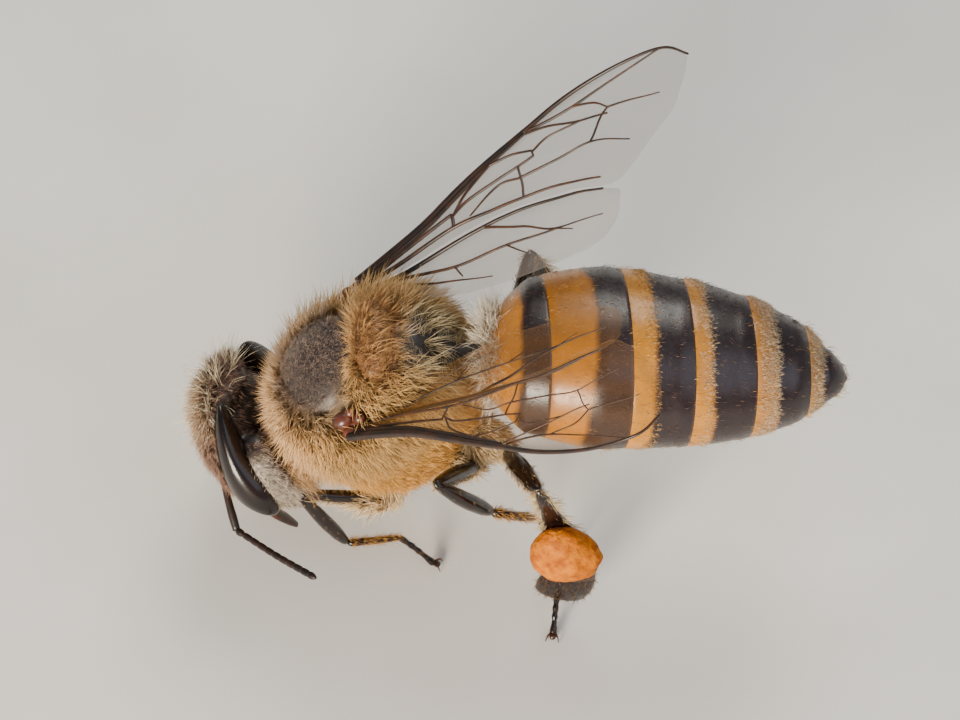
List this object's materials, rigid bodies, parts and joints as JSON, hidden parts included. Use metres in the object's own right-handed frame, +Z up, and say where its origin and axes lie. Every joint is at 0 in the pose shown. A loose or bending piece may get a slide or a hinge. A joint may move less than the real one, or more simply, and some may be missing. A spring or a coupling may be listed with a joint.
{
  "type": "honey bee worker model",
  "caption": "Still life-size model of a honey bee worker standing with raised wings and packed pollen on its hind legs.",
  "frame": {"origin": "under the middle of the bee's box, on the level of the flats under its feet", "axes": "+Z up, -X the way the head points, -Y the bee's left side; +X is the longest way"},
  "size_m": [0.0116, 0.0088, 0.0089],
  "materials": {
    "coat": "short dense pile over the skin of head, thorax and scutellum",
    "shell": "polished dark brown chitin of legs, feelers and jaws",
    "rings": "smooth orange and dark chitin plates of the abdomen",
    "eye": "glossy black-brown compound eye",
    "membrane": "thin clear brownish wing membrane with brown veins",
    "scale": "glossy red-brown scale over the wing root",
    "pollen": "packed orange pollen, fine grained and slightly moist"
  },
  "bodies": {
    "root": {"scutellum": "coat", "thorax": "coat", "head": "coat", "proboscis": "shell", "eye_left": "eye", "scape_left": "shell", "flagellum_left": "shell", "mandible_left": "shell", "tegula_left": "scale", "forewing_left": "membrane", "hindwing_left": "membrane", "pollen_left": "pollen", "fore_coxa_left": "shell", "fore_femur_left": "shell", "fore_tibia_left": "shell", "fore_tarsus_left": "shell", "mid_coxa_left": "shell", "mid_femur_left": "shell", "mid_tibia_left": "shell", "mid_tarsus_left": "shell", "hind_coxa_left": "shell", "hind_femur_left": "shell", "hind_tibia_left": "shell", "hind_tarsus_left": "shell", "eye_right": "eye", "scape_right": "shell", "flagellum_right": "shell", "mandible_right": "shell", "tegula_right": "scale", "forewing_right": "membrane", "hindwing_right": "membrane", "pollen_right": "pollen", "fore_coxa_right": "shell", "fore_femur_right": "shell", "fore_tibia_right": "shell", "fore_tarsus_right": "shell", "mid_coxa_right": "shell", "mid_femur_right": "shell", "mid_tibia_right": "shell", "mid_tarsus_right": "shell", "hind_coxa_right": "shell", "hind_femur_right": "shell", "hind_tibia_right": "shell", "hind_tarsus_right": "shell", "abdomen_ring_1": "rings", "abdomen_ring_2": "rings", "abdomen_ring_3": "rings", "abdomen_ring_4": "rings", "abdomen_ring_5": "rings", "abdomen_ring_6": "rings"}
  },
  "joints": []
}
